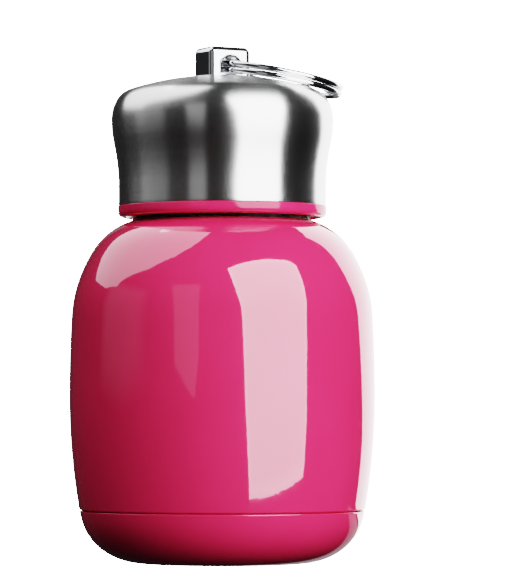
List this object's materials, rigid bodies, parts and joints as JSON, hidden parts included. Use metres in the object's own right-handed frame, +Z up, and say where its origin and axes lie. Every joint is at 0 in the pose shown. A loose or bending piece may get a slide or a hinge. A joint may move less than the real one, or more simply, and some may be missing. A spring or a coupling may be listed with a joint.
{
  "type": "vacuum flask",
  "caption": "Small double-walled steel vacuum flask with a screw cap, sealed by a gasket, and a split key ring in a lug on the cap's dome.",
  "frame": {"origin": "centre of the standing ring's flat underside", "axes": "+Z up the flask's axis; -Y is the front; the key ring lies towards +X"},
  "size_m": [0.08, 0.08, 0.135],
  "materials": {
    "bottle_paint": "high-gloss magenta-pink paint",
    "bare_steel": "bare drawn stainless steel",
    "solder_glass": "dark fused solder glass",
    "foil": "bright thin foil",
    "getter": "sintered dark grey",
    "brushed_steel": "fine grain brushed round the axis, satin",
    "collar_plastic": "gloss magenta-pink moulding",
    "moulded_plastic": "off-white moulding, satin",
    "foam": "white expanded foam",
    "silicone": "translucent white silicone",
    "chrome": "bright mirror plating",
    "zinc_steel": "zinc-plated steel"
  },
  "bodies": {
    "bottle": {"outer_shell": "bottle_paint", "base_cover": "bottle_paint", "vacuum_base_disc": "bare_steel", "seal_bead": "solder_glass", "inner_liner": "bare_steel", "liner_bottom": "bare_steel", "radiation_foil": "foil", "getter_holder": "bare_steel", "getter_pellet": "getter"},
    "gasket": {"seal_ring": "silicone"},
    "cap": {"cap_shell": "brushed_steel", "cap_collar": "collar_plastic", "thread_insert": "moulded_plastic", "plug_disc": "moulded_plastic", "cap_foam": "foam", "lug": "chrome", "lug_washer": "zinc_steel", "lug_spring_washer": "zinc_steel", "lug_nut": "zinc_steel"},
    "ring": {"key_ring": "chrome"}
  },
  "joints": [
    {"name": "cap_lift", "type": "slide", "parent": "bottle", "child": "gasket", "axis": [0, 0, 1], "range_m": [0, 0.024]},
    {"name": "cap_turn", "type": "hinge", "parent": "gasket", "child": "cap", "pos_m": [0, 0, 0.0992], "axis": [0, 0, 1], "range_deg": [0, 2160]},
    {"name": "ring_swing", "type": "hinge", "parent": "cap", "child": "ring", "pos_m": [0, 0, 0.13043], "axis": [0.5, -0.866, 0], "range_deg": [0, 197]}
  ],
  "couplings": [
    {"joint": "cap_lift", "follows": "cap_turn", "m_per_rad": 0.00063662}
  ]
}
